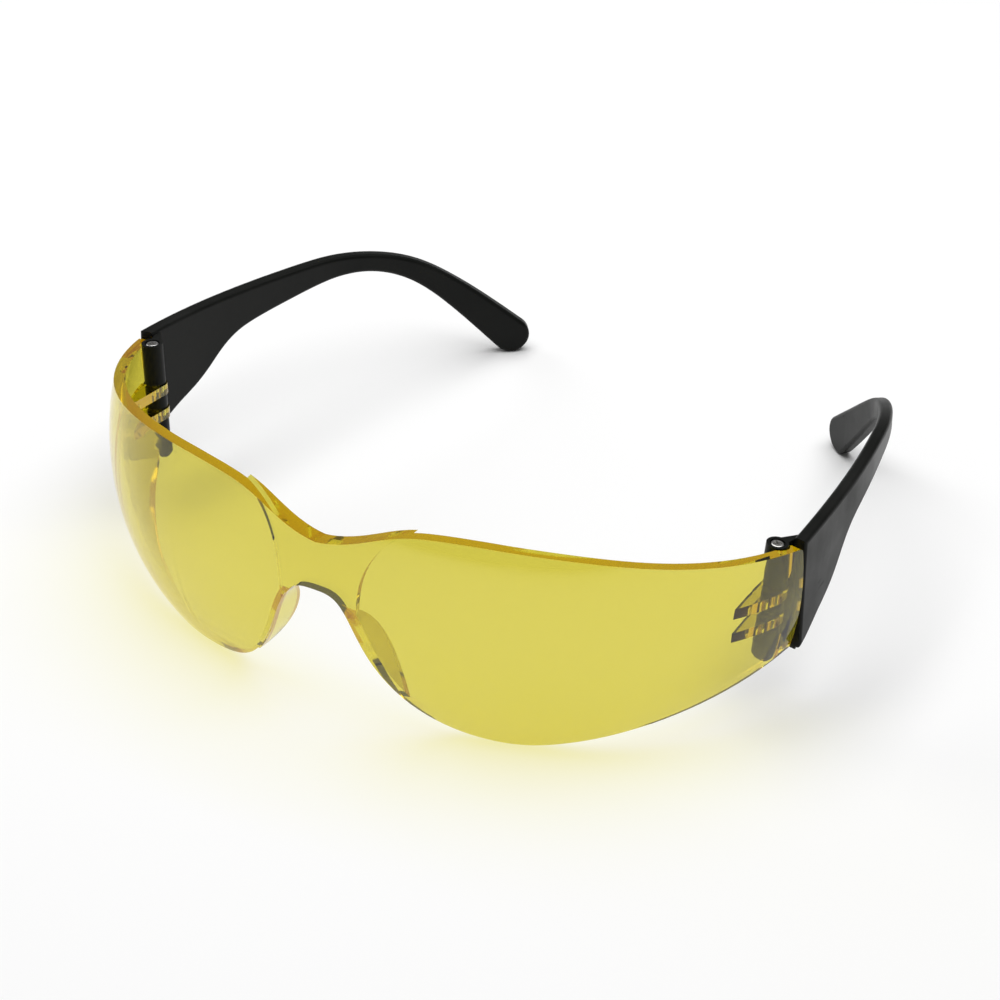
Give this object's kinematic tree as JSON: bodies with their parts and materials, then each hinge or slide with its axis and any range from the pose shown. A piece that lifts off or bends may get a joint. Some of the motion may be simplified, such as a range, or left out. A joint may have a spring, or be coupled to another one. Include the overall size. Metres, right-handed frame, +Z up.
{
  "type": "safety glasses",
  "caption": "One-piece wrap-round tinted eye shield with two folding side arms on upright screw hinges.",
  "frame": {"origin": "centre of the bounding box, at the height of the surface that the glasses rest on", "axes": "+X to the viewer's right when facing the front of the lens, +Y from the lens towards the ear hooks, +Z up"},
  "size_m": [0.1406, 0.1304, 0.0434],
  "materials": {
    "tinted_lens": "clear yellow polished polycarbonate",
    "black_nylon": "black moulded nylon with a soft sheen",
    "plated_steel": "bright plated steel"
  },
  "bodies": {
    "lens": {"lens": "tinted_lens"},
    "left_arm": {"left_temple": "black_nylon", "left_hinge_screw": "plated_steel"},
    "right_arm": {"right_temple": "black_nylon", "right_hinge_screw": "plated_steel"}
  },
  "joints": [
    {"name": "right_arm_fold", "type": "hinge", "parent": "lens", "child": "right_arm", "pos_m": [0.06484, -0.01994, 0.02296], "axis": [0.0919, 0.0812, 0.9925], "range_deg": [0, 76]},
    {"name": "left_arm_fold", "type": "hinge", "parent": "lens", "child": "left_arm", "pos_m": [-0.06484, -0.01994, 0.02296], "axis": [0.0919, -0.0812, -0.9925], "range_deg": [0, 90]}
  ]
}
